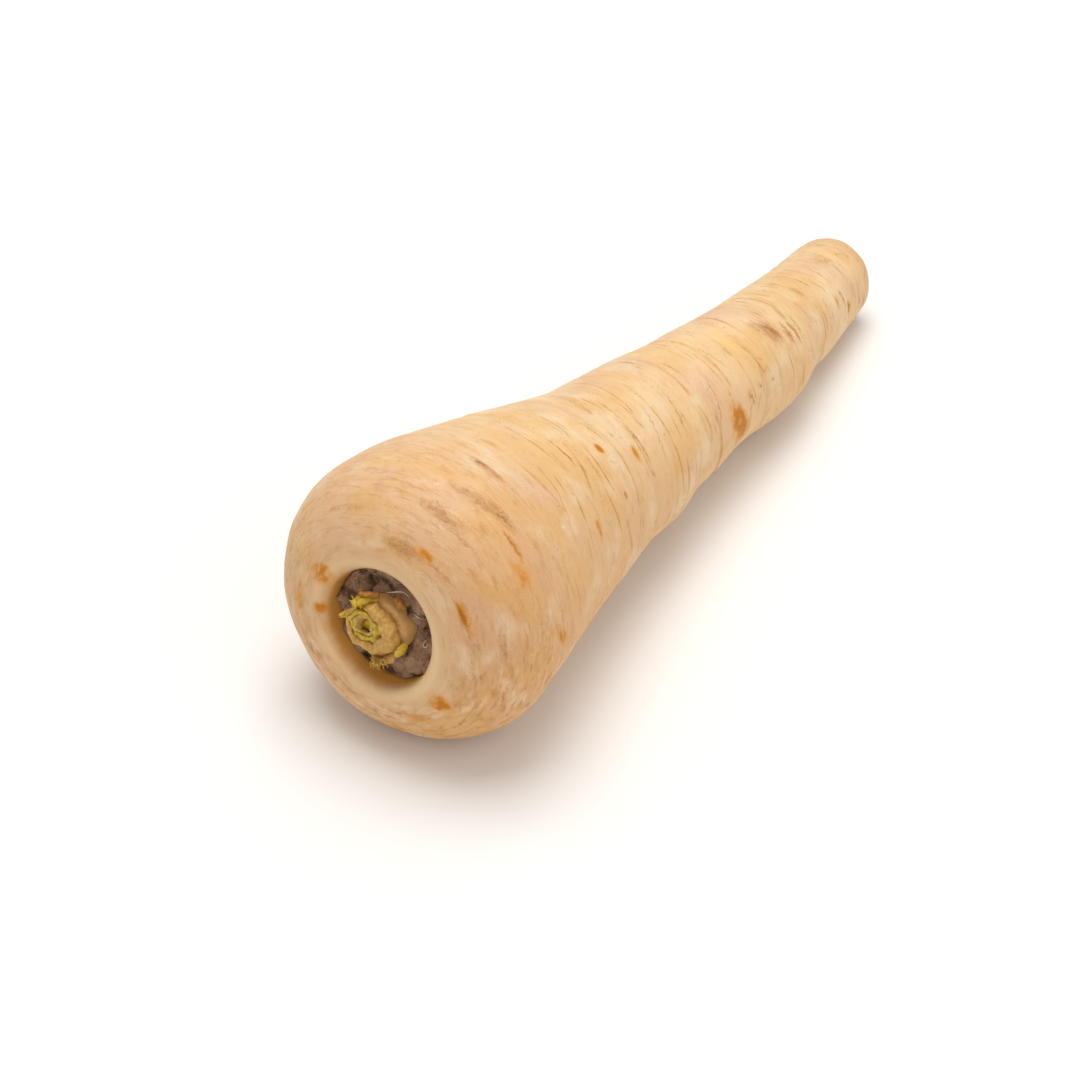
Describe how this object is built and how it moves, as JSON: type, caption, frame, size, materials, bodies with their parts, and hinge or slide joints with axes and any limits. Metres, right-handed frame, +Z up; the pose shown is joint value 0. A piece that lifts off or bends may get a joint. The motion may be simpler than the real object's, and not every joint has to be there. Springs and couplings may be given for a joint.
{
  "type": "parsnip root",
  "caption": "Whole parsnip lying on its side: a tapering root with a broad shoulder, a sunken crown holding dried soil, and the trimmed stub of its leaves.",
  "frame": {"origin": "on the surface it lies on, under the middle of its bounding box", "axes": "+X along the root from crown to tip, +Z up; the crown faces -X"},
  "size_m": [0.202, 0.0678, 0.0667],
  "materials": {
    "skin": "satin, cream parsnip skin",
    "leaf_base_pale": "matt, pale tan leaf base",
    "leaf_base_green": "matt, lime-green leaf base",
    "leaf_brown": "matt, dried brown leaf",
    "soil": "matt, dried soil"
  },
  "bodies": {
    "root": {"root": "skin", "soil": "soil", "leaf_base_outer": "leaf_base_pale", "leaf_base_middle": "leaf_base_green", "leaf_base_inner": "leaf_base_green", "leaf_heart": "leaf_base_green", "old_leaf_sheath": "leaf_base_pale", "green_scrap_upper": "leaf_base_green", "green_scrap_left": "leaf_base_green", "green_scrap_lower": "leaf_base_green", "brown_scrap_upper": "leaf_brown", "bud_scale": "leaf_brown"}
  },
  "joints": []
}
